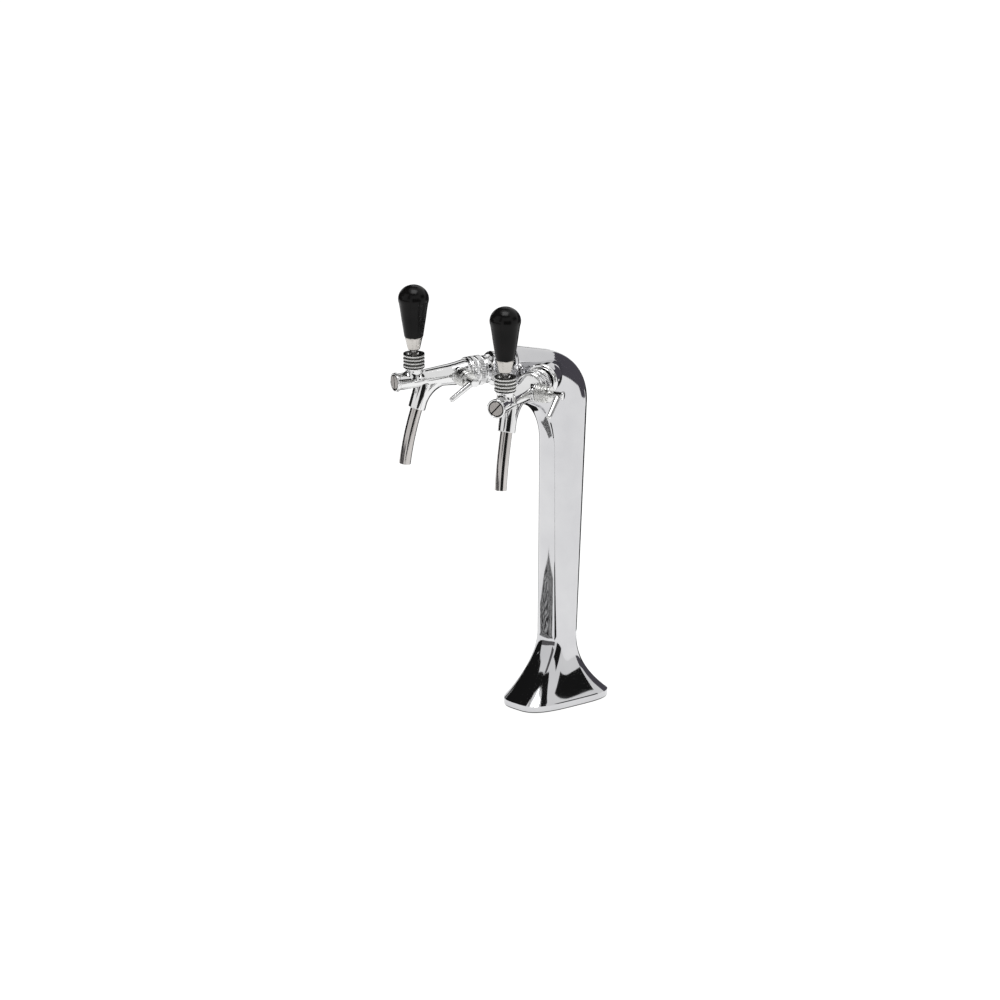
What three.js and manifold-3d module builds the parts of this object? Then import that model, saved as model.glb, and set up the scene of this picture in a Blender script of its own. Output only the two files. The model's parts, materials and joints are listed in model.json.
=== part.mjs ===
// Two-tap beer tower: a chromed column bent forward at the top, on a flared foot,
// with two flow-control taps that splay outwards from its head.
// Millimetres, +Z up, the front towards -Y, origin at the foot of the column's centre line.

import * as THREE from 'three';
import { mergeVertices } from 'three/addons/utils/BufferGeometryUtils.js';
import Module from 'manifold-3d';

const wasm = await Module();
wasm.setup();

// ---------------------------------------------------------------- driving dimensions

// Taps. Each tap has its own frame: x to its flow control, y back to the column, z up,
// with the origin on the barrel's axis below the handle.
const TAP_SPLAY = 18.5;           // degrees that each tap turns outwards
const TAP_SIDE = 69.5;            // from the middle plane to the handle
const TAP_FRONT = 163;            // from the column's centre line forward to the handle
const TAP_HEIGHT = 402;           // barrel axis above the counter

// Column.
const COLUMN_HALF_WIDTH = 21.2;
const COLUMN_ROUNDNESS = 2.8;     // exponent of the superellipse section
const FRONT_FACE = -19;           // y of the straight front line
const BACK_LOW = 20.3;            // y of the back line where the foot begins
const BACK_HIGH = 37.5;           // y of the back line where the bend begins
const WALL = 3;

// Bend: one elliptic arc along the back and one along the front, then straight to the nose.
const BEND_TURN = 68.2;           // degrees
const BACK_ARC = { z: 359.4, reach: 97.5, rise: 68.4, run: 62 };
const FRONT_ARC = { z: 304.5, reach: 45.1, rise: 59.5, run: 43 };
const NOSE_HALF_WIDTH = 17.8;
const NOSE_BULGE = 11.5;

// Foot: a rounded wedge, wider at the back.
const FOOT = { halfWidth: 43.9, widen: 12.3, halfLength: 60.2, shift: -10.2, roundness: 3.5 };
const RIM_TOP = 7.9;
const FLARE_TOP = 79.3;
const FLARE_SIDE = 2.3;           // exponents of the flare's profile
const FLARE_FRONT = 1.82;
const FLARE_BACK = 2.25;

// Underside.
const GASKET_TOP = 1.2;
const SHELL_BOTTOM = 1.5;
const PLATE_TOP = 6.5;
const LUG_BOTTOM = 6.8;
const CORE_BOTTOM = 84;
const CORE_TOP = 298;
const LINE_RADIUS = 3.9;
const LINE_BORE = 2.7;
const LINE_STRAIGHT = 300;        // height where the lines start to bend
const LINE_PLACE = { x: 10, y: -4 };
const COOLING_RADIUS = 3.2;
const COOLING_PLACE = { x: 6.5, y: 9 };
const COUNTER_BOLTS = [[-16, -34], [16, -34], [-30, 10], [30, 10]];
const SHELL_SCREWS = [[-15, -52], [15, -52], [-33, 28], [33, 28]];
const INSERT_RADIUS = 5;
const BOLT_BORE = 3.4;

// Stations along the tap's axis.
const BARREL_FRONT = -20.8;
const CAP_FACE = -25;
const CAP_RADIUS = 10.7;
const CAP_SLOT_TURN = { right: 48, left: 100 };   // degrees that the coin slot is turned
const FLOW_STATION = 53;          // where the flow control crosses the axis
const BODY_END = 69.5;
const NUT_FRONT = 65.6;
const NUT_BACK = 92;
const RING_FRONT = 95.5;
const SEAT_FACE = 102.3;          // flat face on the column's branch
const SEAT_BACK = 106.1;
const SPOT_FACE_RADIUS = 21;
const SHANK_END = 118;
const SHANK_RADIUS = 9.2;
const SHANK_BORE = 4.3;

// Handle lever.
const PIVOT_HEIGHT = 22;
const BALL_RADIUS = 6.5;
const COLLAR_BOTTOM = 14.6;
const COLLAR_PITCH = 3.95;
const FERRULE_BOTTOM = 34.7;
const FERRULE_TOP = 49.7;
const HANDLE_TOP = 109.2;
const HANDLE_RADIUS = 17.3;
const HANDLE_WIDEST = 94;

// Spout, in the tap's y-z plane.
const SPOUT_ROOT = { y: 12.5, z: -4 };
const SPOUT_LEAN = 17.6;          // degrees from upright
const SOCKET_LENGTH = 31.5;
const ELBOW = { radius: 9.3, socketDepth: 28, corner: 13.8, end: 52 };
const SPOUT_RADIUS = 6.5;
const SPOUT_BORE = 5.1;
const SPOUT_BEND = { y: -7.6, z: -64.2 };
const SPOUT_TIP = { y: -12.3, z: -96.3 };

// Flow control.
const LEVER_DROP = { right: 55, left: 58 };   // degrees forward of hanging straight down
const LEVER_LENGTH = 34;
const LEVER_STATION = 40.4;       // along the flow control's axis

const CLEARANCE = 0.4;

// ---------------------------------------------------------------- materials

function metal(color, roughness) {
  return new THREE.MeshStandardMaterial({ color, roughness, metalness: 1 });
}

function plain(color, roughness) {
  return new THREE.MeshStandardMaterial({ color, roughness, metalness: 0 });
}

const chrome = () => metal(0xd8dadd, 0.08);
const steel = () => metal(0x9a9895, 0.32);
const brass = () => metal(0xb49a5a, 0.35);
const blackPlastic = () => plain(0x0b0b0c, 0.18);
const rubber = () => plain(0x151515, 0.7);
const whitePlastic = () => plain(0xdedfdd, 0.5);
const foam = () => plain(0xd9cfae, 0.9);

// ---------------------------------------------------------------- solids

// A closed mesh with shared vertices and no flat triangles, turned to face outwards.
function closed(geometry) {
  const bare = geometry.clone();
  bare.deleteAttribute('normal');
  bare.deleteAttribute('uv');
  const merged = mergeVertices(bare, 1e-4);
  const at = merged.getAttribute('position');
  const corners = merged.getIndex().array;
  const kept = [];
  let volume = 0;
  const [a, b, c] = [new THREE.Vector3(), new THREE.Vector3(), new THREE.Vector3()];
  for (let i = 0; i < corners.length; i += 3) {
    const [p, q, r] = [corners[i], corners[i + 1], corners[i + 2]];
    if (p === q || q === r || r === p) continue;
    kept.push(p, q, r);
    a.fromBufferAttribute(at, p);
    b.fromBufferAttribute(at, q);
    c.fromBufferAttribute(at, r);
    volume += a.dot(b.cross(c));
  }
  merged.setIndex(volume < 0 ? kept.reverse() : kept);
  return merged;
}

function toSolid(geometry) {
  const mesh = closed(geometry);
  return new wasm.Manifold(new wasm.Mesh({
    numProp: 3,
    vertProperties: new Float32Array(mesh.getAttribute('position').array),
    triVerts: new Uint32Array(mesh.getIndex().array),
  }));
}

// The solid's mesh, without the slivers that booleans leave behind.
function toGeometry(solid) {
  const mesh = solid.simplify(0.05).getMesh();
  const geometry = new THREE.BufferGeometry();
  geometry.setAttribute('position', new THREE.BufferAttribute(mesh.vertProperties, 3));
  geometry.setIndex(new THREE.BufferAttribute(mesh.triVerts, 1));
  return geometry;
}

function cut(base, ...tools) {
  return tools.reduce((solid, tool) => solid.subtract(tool), base);
}

function join(base, ...others) {
  return others.reduce((solid, other) => solid.add(other), base);
}

// ---------------------------------------------------------------- shape helpers

// Turns a geometry made along three.js's y axis onto the wanted axis.
function along(axis, geometry) {
  if (axis === 'z') geometry.rotateX(Math.PI / 2);
  if (axis === 'x') geometry.rotateZ(-Math.PI / 2);
  return geometry;
}

// A turned piece. The profile lists [radius, place along the axis].
function turned(profile, axis = 'y', sides = 16) {
  const points = profile.map(([radius, place]) => new THREE.Vector2(radius, place));
  return along(axis, new THREE.LatheGeometry(points, sides));
}

// A turned ring: its profile is closed on itself, away from the axis.
function turnedRing(profile, axis = 'y', sides = 16) {
  return turned([...profile, profile[0]], axis, sides);
}

function ring(inner, outer, from, to, axis = 'y', sides = 12) {
  return turnedRing([[inner, from], [outer, from], [outer, to], [inner, to]], axis, sides);
}

function rod(radius, from, to, axis = 'y', sides = 16) {
  return turned([[0, from], [radius, from], [radius, to], [0, to]], axis, sides);
}

// Points of an arc as [radius, place] pairs, for round stretches of a profile.
function arc(centre, radius, stretch, fromDegrees, toDegrees, steps) {
  return Array.from({ length: steps + 1 }, (_, i) => {
    const angle = THREE.MathUtils.degToRad(fromDegrees + (toDegrees - fromDegrees) * i / steps);
    return [radius * Math.cos(angle), centre + stretch * Math.sin(angle)];
  });
}

// A solid bar along a curve.
function swept(curve, radius, steps, sides) {
  const section = new THREE.Shape().absarc(0, 0, radius, 0, Math.PI * 2);
  return toSolid(new THREE.ExtrudeGeometry(section, {
    steps, curveSegments: sides / 2, bevelEnabled: false, extrudePath: curve,
  }));
}

// ---------------------------------------------------------------- column

const lerp = THREE.MathUtils.lerp;

// Back and front lines of the column at one station, with the section's half width.
function straightStation(z) {
  const share = (z - FLARE_TOP) / (BACK_ARC.z - FLARE_TOP);
  return { back: [lerp(BACK_LOW, BACK_HIGH, share), z], front: [FRONT_FACE, z] };
}

function arcPoint(start, shape, degrees) {
  const angle = THREE.MathUtils.degToRad(degrees);
  return [start - shape.reach * (1 - Math.cos(angle)), shape.z + shape.rise * Math.sin(angle)];
}

function runPoint(start, shape, distance) {
  const angle = THREE.MathUtils.degToRad(BEND_TURN);
  const [y, z] = arcPoint(start, shape, BEND_TURN);
  const tangent = new THREE.Vector2(-shape.reach * Math.sin(angle), shape.rise * Math.cos(angle));
  tangent.setLength(distance);
  return [y + tangent.x, z + tangent.y];
}

// A station on the last straight run, at a share of its length.
function runStation(share) {
  return { back: runPoint(BACK_HIGH, BACK_ARC, BACK_ARC.run * share),
    front: runPoint(FRONT_FACE, FRONT_ARC, FRONT_ARC.run * share), foot: 0, nose: share };
}

// Stations from the rim up to the nose. `coarse` thins them out for the hidden inner wall.
function columnStations(coarse) {
  const stations = [];
  const flareSteps = coarse ? 3 : 7;
  const bendSteps = coarse ? 5 : 9;
  const foot = (z) => (FLARE_TOP - Math.max(z, RIM_TOP)) / (FLARE_TOP - RIM_TOP);
  stations.push({ ...straightStation(SHELL_BOTTOM), foot: 1 });
  for (let i = 0; i <= flareSteps; i += 1) {
    const z = lerp(RIM_TOP, FLARE_TOP, i / flareSteps);
    stations.push({ ...straightStation(z), foot: foot(z) });
  }
  stations.push({ back: [lerp(BACK_LOW, BACK_HIGH, 0.5), lerp(FLARE_TOP, BACK_ARC.z, 0.5)],
    front: [FRONT_FACE, lerp(FLARE_TOP, FRONT_ARC.z, 0.5)], foot: 0 });
  for (let i = 0; i <= bendSteps; i += 1) {
    const turn = BEND_TURN * i / bendSteps;
    stations.push({ back: arcPoint(BACK_HIGH, BACK_ARC, turn),
      front: arcPoint(FRONT_FACE, FRONT_ARC, turn), foot: 0 });
  }
  stations.push(runStation(1));
  return stations;
}

function power(value, exponent) {
  return Math.sign(value) * Math.abs(value) ** exponent;
}

// One point of a section's outline. `angle` runs round it, `inset` moves it inwards.
function sectionPoint(station, angle, inset) {
  const { back, front, foot = 0, nose = 0 } = station;
  const [across, deep] = [Math.cos(angle), Math.sin(angle)];
  const u = power(across, 2 / COLUMN_ROUNDNESS);
  const v = power(deep, 2 / COLUMN_ROUNDNESS);
  const middle = [(back[0] + front[0]) / 2, (back[1] + front[1]) / 2];
  const half = [(back[0] - front[0]) / 2, (back[1] - front[1]) / 2];
  const thin = 1 - inset / Math.hypot(...half);
  let x = (lerp(COLUMN_HALF_WIDTH, NOSE_HALF_WIDTH, nose) - inset) * u;
  let y = middle[0] + half[0] * v * thin;
  const z = middle[1] + half[1] * v * thin;
  if (foot > 0) {
    const footU = power(across, 2 / FOOT.roundness);
    const footV = power(deep, 2 / FOOT.roundness);
    const footX = (FOOT.halfWidth + FOOT.widen * footV - inset) * footU;
    const footY = FOOT.shift + (FOOT.halfLength - inset) * footV;
    x = lerp(x, footX, foot ** FLARE_SIDE);
    y = lerp(y, footY, foot ** lerp(FLARE_FRONT, FLARE_BACK, (v + 1) / 2));
  }
  return new THREE.Vector3(x, y, z);
}

// A closed skin through a list of stations, made by reshaping a cylinder.
function loft(stations, around, inset = 0, scale = () => 1) {
  const last = stations.length - 1;
  const geometry = new THREE.CylinderGeometry(1, 1, last, around, last);
  const at = geometry.getAttribute('position');
  const point = new THREE.Vector3();
  for (let i = 0; i < at.count; i += 1) {
    point.fromBufferAttribute(at, i);
    const index = Math.round(point.y + last / 2);
    const station = stations[index];
    const centre = new THREE.Vector3(0, (station.back[0] + station.front[0]) / 2,
      (station.back[1] + station.front[1]) / 2);
    if (station.foot > 0) centre.y = lerp(centre.y, FOOT.shift, station.foot ** 2);
    const onAxis = Math.hypot(point.x, point.z) < 0.5;
    const outline = sectionPoint(station, Math.atan2(point.z, point.x), inset);
    outline.lerp(centre, 1 - scale(index));
    const place = onAxis ? centre : outline;
    at.setXYZ(i, place.x, place.y, place.z);
  }
  return geometry;
}

// The same station, moved along its own plane's normal.
function advanced(station, distance) {
  const normal = new THREE.Vector2(station.back[1] - station.front[1],
    station.front[0] - station.back[0]).setLength(-distance);
  const moved = ([y, z]) => [y + normal.x, z + normal.y];
  return { ...station, back: moved(station.back), front: moved(station.front) };
}

// Places a geometry or solid from a tap's frame into the tower's frame.
function tapMatrix(side) {
  const turn = new THREE.Matrix4().makeRotationZ(side * THREE.MathUtils.degToRad(TAP_SPLAY));
  return turn.setPosition(side * TAP_SIDE, -TAP_FRONT, TAP_HEIGHT);
}

function inTower(side, geometry) {
  return toSolid(geometry.applyMatrix4(tapMatrix(side)));
}

// A cone between two points of the tower.
function coneBetween(from, to, radiusFrom, radiusTo, sides) {
  const way = new THREE.Vector3().subVectors(to, from);
  const geometry = new THREE.CylinderGeometry(radiusTo, radiusFrom, way.length(), sides);
  const turn = new THREE.Quaternion().setFromUnitVectors(new THREE.Vector3(0, 1, 0),
    way.clone().normalize());
  geometry.applyQuaternion(turn);
  const middle = from.clone().add(to).multiplyScalar(0.5);
  return toSolid(geometry.translate(middle.x, middle.y, middle.z));
}

const BRANCH_RADIUS = 17.5;
const BRANCH_WALL = 2.4;
const BRANCH_ELBOW = 112;         // station where the branch turns in towards the column
const BRANCH_ROOT = { x: 8, y: -20, z: 398, radius: 13.5 };

// The short tube a tap is bolted to: straight behind the seat, then tapering into the column.
function branch(side, thinner, startStation, sides) {
  const radius = BRANCH_RADIUS - thinner;
  const straight = inTower(side, rod(radius, startStation, BRANCH_ELBOW + 2, 'y', sides));
  const from = new THREE.Vector3(0, BRANCH_ELBOW, 0).applyMatrix4(tapMatrix(side));
  const to = new THREE.Vector3(side * BRANCH_ROOT.x, BRANCH_ROOT.y, BRANCH_ROOT.z);
  return join(straight, coneBetween(from, to, radius, BRANCH_ROOT.radius - thinner, sides));
}

const outerStations = columnStations(false);
const noseStation = outerStations[outerStations.length - 1];

function columnShell() {
  const outer = toSolid(loft(outerStations, 32));
  const innerStations = columnStations(true);
  innerStations[0] = { ...innerStations[0], back: [BACK_LOW, -1], front: [FRONT_FACE, -1] };
  innerStations.push(advanced(innerStations[innerStations.length - 1], 4));
  const inner = toSolid(loft(innerStations, 16, WALL));
  const lugLimit = toSolid(loft(outerStations.slice(0, 9), 32, WALL / 3));
  let shell = outer;
  const hollows = [];
  for (const side of [-1, 1]) {
    shell = join(shell, branch(side, 0, SEAT_FACE, 20));
    hollows.push(branch(side, BRANCH_WALL, SEAT_BACK, 14));
  }
  shell = cut(shell, inner, ...hollows);
  for (const [x, y] of SHELL_SCREWS) {
    const lug = toSolid(rod(5.5, LUG_BOTTOM, 60, 'z', 8).translate(x, y, 0));
    const bore = toSolid(rod(2.2, 0, 16, 'z', 6).translate(x, y, 0));
    shell = cut(join(shell, lug.intersect(lugLimit)), bore);
  }
  for (const side of [-1, 1]) {
    const spotFace = inTower(side, rod(SPOT_FACE_RADIUS, 60, SEAT_FACE, 'y', 20));
    const bore = inTower(side, rod(SHANK_RADIUS + CLEARANCE, 90, 110, 'y', 14));
    shell = cut(shell, spotFace, bore);
  }
  return toGeometry(shell);
}

function noseCap() {
  const spigotInset = WALL + CLEARANCE;
  const spigot = toSolid(loft([runStation(0.86), noseStation, advanced(noseStation, 1.2)], 20,
    spigotInset));
  const bulgeSteps = 5;
  const bulge = [advanced(noseStation, 0.3)];
  for (let i = 0; i <= bulgeSteps; i += 1) {
    const angle = THREE.MathUtils.degToRad(86 * i / bulgeSteps);
    bulge.push(advanced(noseStation, 1 + NOSE_BULGE * Math.sin(angle)));
  }
  const shrink = (index) => (index < 2 ? 1
    : Math.cos(THREE.MathUtils.degToRad(86 * (index - 1) / bulgeSteps)));
  let cap = join(toSolid(loft(bulge, 32, 0, shrink)), spigot);
  for (const side of [-1, 1]) {
    cap = cut(cap, inTower(side, rod(SPOT_FACE_RADIUS, 60, SEAT_FACE, 'y', 20)));
  }
  return toGeometry(cap);
}

// Flat plate with the foot's outline, between two heights.
function footPlate(inset, bottom, top) {
  const station = (z) => ({ back: [BACK_LOW, z], front: [FRONT_FACE, z], foot: 1 });
  return toSolid(loft([station(bottom), station(top)], 24, inset));
}

function lineHoles(extra) {
  const holes = [];
  for (const side of [-1, 1]) {
    holes.push(toSolid(rod(LINE_RADIUS + extra, -5, 400, 'z', 8)
      .translate(side * LINE_PLACE.x, LINE_PLACE.y, 0)));
    holes.push(toSolid(rod(COOLING_RADIUS + extra, -5, 400, 'z', 8)
      .translate(side * COOLING_PLACE.x, COOLING_PLACE.y, 0)));
  }
  return holes;
}

function uprightHoles(places, radius, from, to) {
  return places.map(([x, y]) => toSolid(rod(radius, from, to, 'z', 8).translate(x, y, 0)));
}

function basePlate() {
  return toGeometry(cut(footPlate(WALL + 1.2, SHELL_BOTTOM, PLATE_TOP), ...lineHoles(0.6),
    ...uprightHoles(COUNTER_BOLTS, INSERT_RADIUS + CLEARANCE, 0, 10),
    ...uprightHoles(SHELL_SCREWS, 2.3, 0, 10),
    ...uprightHoles(SHELL_SCREWS, 4.4, 0, 4.6)));
}

function baseGasket() {
  return toGeometry(cut(footPlate(0.8, 0, GASKET_TOP), ...lineHoles(0.6),
    ...uprightHoles(COUNTER_BOLTS, BOLT_BORE + CLEARANCE, -1, 3)));
}

function shellScrew(x, y) {
  return turned([[0, 1.6], [4, 1.6], [4, 4.3], [1.9, 4.3], [1.9, 15], [0, 15]], 'z', 8)
    .translate(x, y, 0);
}

function insulationCore() {
  const level = (z) => straightStation(z);
  const core = toSolid(loft([level(CORE_BOTTOM), level(CORE_TOP)], 16, WALL + 1));
  return toGeometry(cut(core, ...lineHoles(0.6)));
}

// Each line rises straight through the core, then bends forward to its shank's barb.
function beerLine(side) {
  const { x, y } = LINE_PLACE;
  const at = (across, deep, height) => new THREE.Vector3(side * across, deep, height);
  const onShank = (station) => new THREE.Vector3(0, station, 0).applyMatrix4(tapMatrix(side));
  const route = new THREE.CatmullRomCurve3([at(x, y, LINE_STRAIGHT - 1), at(x, y - 0.5, 320),
    at(x, y - 5, 350), at(x + 0.5, y - 13, 376), at(x + 3, y - 22, 392), at(21, -37, 399.5),
    onShank(SHANK_END + 4), onShank(SHANK_END - 6)], false, 'centripetal');
  const bar = (radius, from, sides) => join(swept(route, radius, 12, sides),
    toSolid(rod(radius, from, LINE_STRAIGHT, 'z', sides).translate(side * x, y, 0)));
  return toGeometry(cut(bar(LINE_RADIUS, 0.4, 8), bar(LINE_BORE, -1, 6)));
}

// The cooling loop goes up one side of the core and comes back down the other.
function coolingLoop() {
  const { x, y } = COOLING_PLACE;
  const legs = [-1, 1].map((side) => toSolid(rod(COOLING_RADIUS, 0.4, CORE_TOP + 1, 'z', 8)
    .translate(side * x, y, 0)));
  const bow = new THREE.CatmullRomCurve3(arc(CORE_TOP + 0.5, x, x, 180, 0, 8)
    .map(([across, height]) => new THREE.Vector3(across, y, height)));
  return toGeometry(join(swept(bow, COOLING_RADIUS, 8, 8), ...legs));
}

// ---------------------------------------------------------------- tap pieces

// Places a piece made along z, hanging down from the spout's root, at the spout's lean.
function onSpoutAxis(geometry) {
  geometry.rotateX(-THREE.MathUtils.degToRad(SPOUT_LEAN));
  return geometry.translate(0, SPOUT_ROOT.y, SPOUT_ROOT.z);
}

// The point on the spout's axis at some depth down its socket.
function spoutPoint(depth) {
  const lean = THREE.MathUtils.degToRad(SPOUT_LEAN);
  return new THREE.Vector3(0, SPOUT_ROOT.y - depth * Math.sin(lean),
    SPOUT_ROOT.z - depth * Math.cos(lean));
}

function flowAxis(geometry) {
  return geometry.translate(0, FLOW_STATION, 0);
}

const SLOT = { halfWidth: 2.6, front: -3.2, back: 9.2, bottom: 2, top: 14.6 };

function tapBody() {
  const barrel = toSolid(turned([[0, BARREL_FRONT], [9.5, BARREL_FRONT], [9.5, 6], [11.4, 32],
    [12.4, 46], [14.9, 62], [14.9, 64.9], [14.2, 64.9], [14.2, BODY_END], [0, BODY_END]],
  'y', 20));
  const neck = toSolid(turned([[0, 0], [9, 0], [11.8, 8.2], [10.6, 10.6], [10.3, 14.2],
    [9.2, 14.2], [9.2, 24], [0, 24]], 'z', 16));
  const socket = toSolid(onSpoutAxis(turned([[0, -SOCKET_LENGTH], [9.75, -SOCKET_LENGTH],
    [10.3, -14], [9.6, 3], [0, 3]], 'z', 16)));
  const elbow = swept(new THREE.QuadraticBezierCurve3(spoutPoint(ELBOW.socketDepth),
    new THREE.Vector3(0, ELBOW.corner, 0), new THREE.Vector3(0, ELBOW.end, 0)), ELBOW.radius,
  6, 16);
  const boss = toSolid(flowAxis(rod(12, 0, 14.8, 'x', 16)));
  const bore = toSolid(turned([[0, -30], [7, -30], [7, 30], [4.8, 30], [4.8, 32], [8.5, 32],
    [8.5, 46], [11.5, 62], [11.5, BODY_END + 1], [0, BODY_END + 1]], 'y', 14));
  const { halfWidth, front, back, bottom, top } = SLOT;
  const slot = toSolid(new THREE.BoxGeometry(halfWidth * 2, back - front, top - bottom)
    .translate(0, (back + front) / 2, (top + bottom) / 2));
  const ballBore = toSolid(rod(7.1, 14, 25, 'z', 12));
  const spoutBore = toSolid(onSpoutAxis(turned([[0, -SOCKET_LENGTH - 1],
    [SPOUT_RADIUS + CLEARANCE, -SOCKET_LENGTH - 1], [SPOUT_RADIUS + CLEARANCE, -24],
    [5.6, -24], [5.6, 0], [0, 0]], 'z', 10)));
  const stemBore = toSolid(flowAxis(rod(3.3, 5, 16, 'x', 8)));
  return toGeometry(cut(join(barrel, neck, socket, elbow, boss), bore, slot, ballBore,
    spoutBore, stemBore));
}

function frontCap(slotTurn) {
  const flange = toSolid(turned([[0, CAP_FACE + 0.3], [8.1, CAP_FACE + 0.3],
    [8.1, CAP_FACE + 1], [8.8, CAP_FACE + 1], [8.8, CAP_FACE], [CAP_RADIUS - 0.6, CAP_FACE],
    [CAP_RADIUS, CAP_FACE + 0.6], [CAP_RADIUS, BARREL_FRONT - 0.3], [6.8, BARREL_FRONT - 0.3],
    [6.8, -15.6], [0, -15.6]], 'y', 18));
  const slot = new THREE.BoxGeometry(13, 1, 1.4).translate(0, CAP_FACE + 0.4, 0);
  slot.rotateY(-THREE.MathUtils.degToRad(slotTurn));
  return toGeometry(cut(flange, toSolid(slot)));
}

function piston() {
  const body = toSolid(turned([[0, -12], [6.2, -12], [6.7, -11.4], [6.7, 5.5], [2.3, 5.5],
    [2.3, 32.3], [0, 32.3]], 'y', 20));
  const slot = toSolid(new THREE.BoxGeometry(4.6, 8, 14).translate(0, -0.5, 1));
  return toGeometry(cut(body, slot));
}

function collarNut() {
  const beads = [];
  for (let i = 0; i < 4; i += 1) {
    const z = COLLAR_BOTTOM + COLLAR_PITCH * i;
    beads.push([11.3, z], [12.2, z + COLLAR_PITCH / 2]);
  }
  return turnedRing([[9.7, COLLAR_BOTTOM], ...beads, [11.7, 30.6], [8.9, 30.6], [6.1, 25.4],
    [9.7, 24.5]], 'z', 16);
}

function leverStem() {
  const ball = arc(PIVOT_HEIGHT, BALL_RADIUS, BALL_RADIUS, -75.7, 60.5, 8);
  return turned([[0, -4], [1.6, -4], [1.6, 15.7], ...ball, [3.2, 62], [0, 62]], 'z', 12);
}

function handleFerrule() {
  return turnedRing([[3.6, FERRULE_BOTTOM], [5.8, FERRULE_BOTTOM], [7, FERRULE_BOTTOM + 1.2],
    [10, FERRULE_TOP - 1], [10, FERRULE_TOP], [3.6, FERRULE_TOP]], 'z', 20);
}

function handleKnob() {
  const bottom = FERRULE_TOP + 0.3;
  const shoulder = arc(HANDLE_WIDEST, HANDLE_RADIUS, HANDLE_TOP - HANDLE_WIDEST, -18, 90, 6);
  return turned([[0, 62.6], [3.6, 62.6], [3.6, bottom], [10.3, bottom], [10.6, bottom + 0.8],
    ...shoulder.slice(0, -1), [0, HANDLE_TOP]], 'z', 20);
}

function spoutTube() {
  const inSocket = spoutPoint(25.4);
  const bend = new THREE.Vector3(0, SPOUT_BEND.y, SPOUT_BEND.z);
  const tip = new THREE.Vector3(0, SPOUT_TIP.y, SPOUT_TIP.z);
  const curve = new THREE.QuadraticBezierCurve3(inSocket, bend, tip);
  return toGeometry(cut(swept(curve, SPOUT_RADIUS, 10, 14), swept(curve, SPOUT_BORE, 10, 8)));
}

function couplingNut() {
  const bore = SHANK_RADIUS + CLEARANCE;
  return turnedRing([[14.7, NUT_FRONT], [16.4, NUT_FRONT], [17, 68.5], [16, 69.4], [17.2, 70.8],
    [17.2, 75.4], [16, 76.8], [17.2, 78.2], [17, 83.8], [14.9, 85.6], [15.8, 90.6],
    [14.8, NUT_BACK], [bore, NUT_BACK], [bore, 74.8], [14.7, 74.8]], 'y', 18);
}

function flangeRing() {
  return turnedRing([[SHANK_RADIUS + CLEARANCE, RING_FRONT], [17.4, RING_FRONT],
    [19.2, 96.4], [19.6, 98], [19.6, 100.4], [18.8, SEAT_FACE - 0.3],
    [SHANK_RADIUS + CLEARANCE, SEAT_FACE - 0.3]], 'y', 20);
}

function shank() {
  return turnedRing([[SHANK_BORE, 71.5], [14.2, 71.5], [14.2, 74.4], [SHANK_RADIUS, 74.4],
    [SHANK_RADIUS, SHANK_END], [SHANK_BORE, SHANK_END]], 'y', 12);
}

function shankLocknut() {
  const [from, to] = [SEAT_BACK + 0.3, 112];
  const hexagon = toSolid(rod(12.8, from, to, 'y', 6));
  return toGeometry(cut(hexagon, toSolid(rod(SHANK_RADIUS + CLEARANCE, from - 1, to + 1))));
}

function flowCone() {
  return turned([[0, 49.5], [4.2, 49.5], [4.9, 51.4], [3, 51.4], [3, 54.6], [6, 54.6],
    [8.4, 61.5], [0, 61.5]], 'y', 12);
}

function flowStem() {
  const spindle = toSolid(flowAxis(turned([[0, 7.6], [3, 7.6], [3, 32.2], [3.9, 32.2],
    [3.9, 44.6], [4.8, 44.6], [4.8, 46.4], [0, 46.4]], 'x', 12)));
  const pin = toSolid(flowAxis(rod(1, 3.5, 8, 'x', 8)).translate(0, 0, 1.6));
  return join(spindle, pin);
}

function flowNut() {
  return flowAxis(turnedRing([[3.3, 15.2], [10, 15.2], [10.4, 15.9], [10.4, 26.6], [9.2, 27.3],
    [9.5, 28.6], [9.5, 30.9], [8.8, 31.8], [3.3, 31.8]], 'x', 16));
}

function flowLever(dropDegrees) {
  const shape = turned([[0, -LEVER_LENGTH], [2, -LEVER_LENGTH], [2.9, -LEVER_LENGTH + 1],
    [3.4, -4.3], [3.4, -4.1], [0, -4.1]], 'z', 12);
  shape.rotateX(-THREE.MathUtils.degToRad(dropDegrees));
  return flowAxis(shape.translate(LEVER_STATION, 0, 0));
}

// ---------------------------------------------------------------- assembly

const tower = new THREE.Group();

function add(parent, name, geometry, material) {
  const mesh = new THREE.Mesh(closed(geometry), material);
  mesh.name = name;
  parent.add(mesh);
}

function addTower() {
  add(tower, 'column_shell', columnShell(), chrome());
  add(tower, 'nose_cap', noseCap(), chrome());
  add(tower, 'base_plate', basePlate(), steel());
  add(tower, 'base_gasket', baseGasket(), rubber());
  COUNTER_BOLTS.forEach(([x, y], index) => {
    const insert = ring(BOLT_BORE, INSERT_RADIUS, SHELL_BOTTOM, PLATE_TOP, 'z', 8);
    add(tower, `counter_insert_${index + 1}`, insert.translate(x, y, 0), brass());
  });
  SHELL_SCREWS.forEach(([x, y], index) => {
    add(tower, `shell_screw_${index + 1}`, shellScrew(x, y), steel());
  });
  add(tower, 'insulation_core', insulationCore(), foam());
  add(tower, 'cooling_loop', coolingLoop(), steel());
  add(tower, 'left_beer_line', beerLine(-1), whitePlastic());
  add(tower, 'right_beer_line', beerLine(1), whitePlastic());
}

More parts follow.
